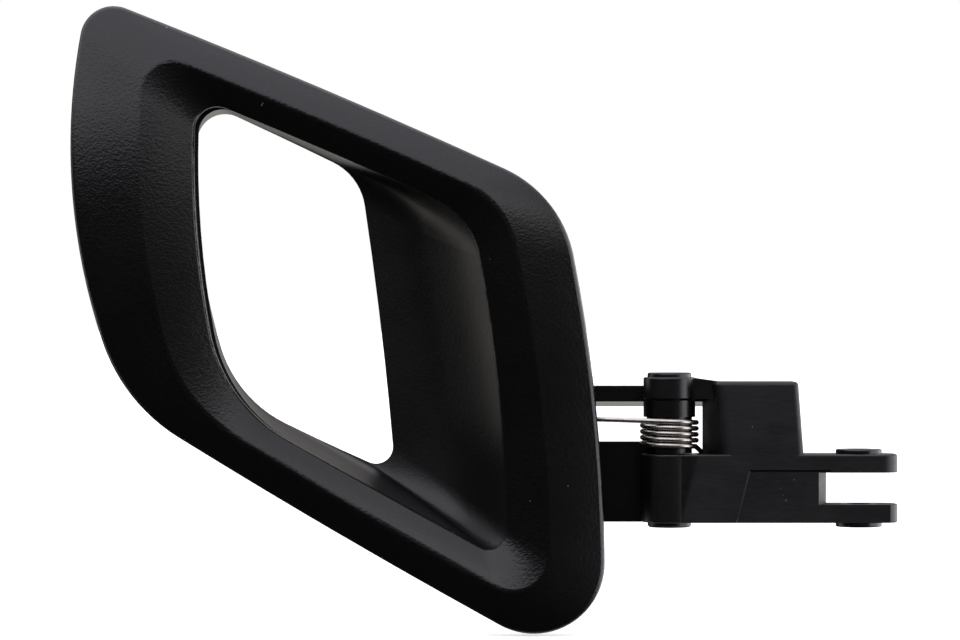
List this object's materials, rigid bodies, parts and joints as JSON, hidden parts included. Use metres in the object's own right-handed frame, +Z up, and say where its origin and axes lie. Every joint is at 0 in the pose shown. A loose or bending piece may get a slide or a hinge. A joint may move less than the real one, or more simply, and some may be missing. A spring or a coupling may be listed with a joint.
{
  "type": "car interior door handle",
  "caption": "Moulded black loop handle with a finger scoop, swinging on a sprung hinge pin held by a lever whose forked end takes a clevis pin.",
  "frame": {"origin": "middle of the clevis bore, halfway between the tines of the fork", "axes": "+Z up the clevis bore, +X from the loop to the fork, and the loop's front faces -Y"},
  "size_m": [0.1927, 0.033, 0.1455],
  "materials": {
    "cover_plastic": "black, finely grained",
    "base_plastic": "black, satin",
    "screw_steel": "zinc plated",
    "lever_plastic": "black, satin, lightly marked",
    "pin_black": "black, satin",
    "spring_steel": "drawn wire",
    "bush_plastic": "black, smooth"
  },
  "bodies": {
    "lever": {"hinge_lever": "lever_plastic", "hinge_pin": "pin_black", "pin_cap": "pin_black", "clevis_bush_upper": "bush_plastic", "clevis_bush_lower": "bush_plastic", "return_spring": "spring_steel"},
    "handle": {"handle_cover": "cover_plastic", "handle_base": "base_plastic", "cover_screws": "screw_steel"}
  },
  "joints": [
    {"name": "handle_pull", "type": "hinge", "parent": "lever", "child": "handle", "pos_m": [-0.0445, 0, 0], "axis": [0, 0, 1], "range_deg": [0, 35], "stiffness_Nm_per_rad": 0.12, "springref_deg": -34.38, "deforming": ["return_spring"]}
  ]
}
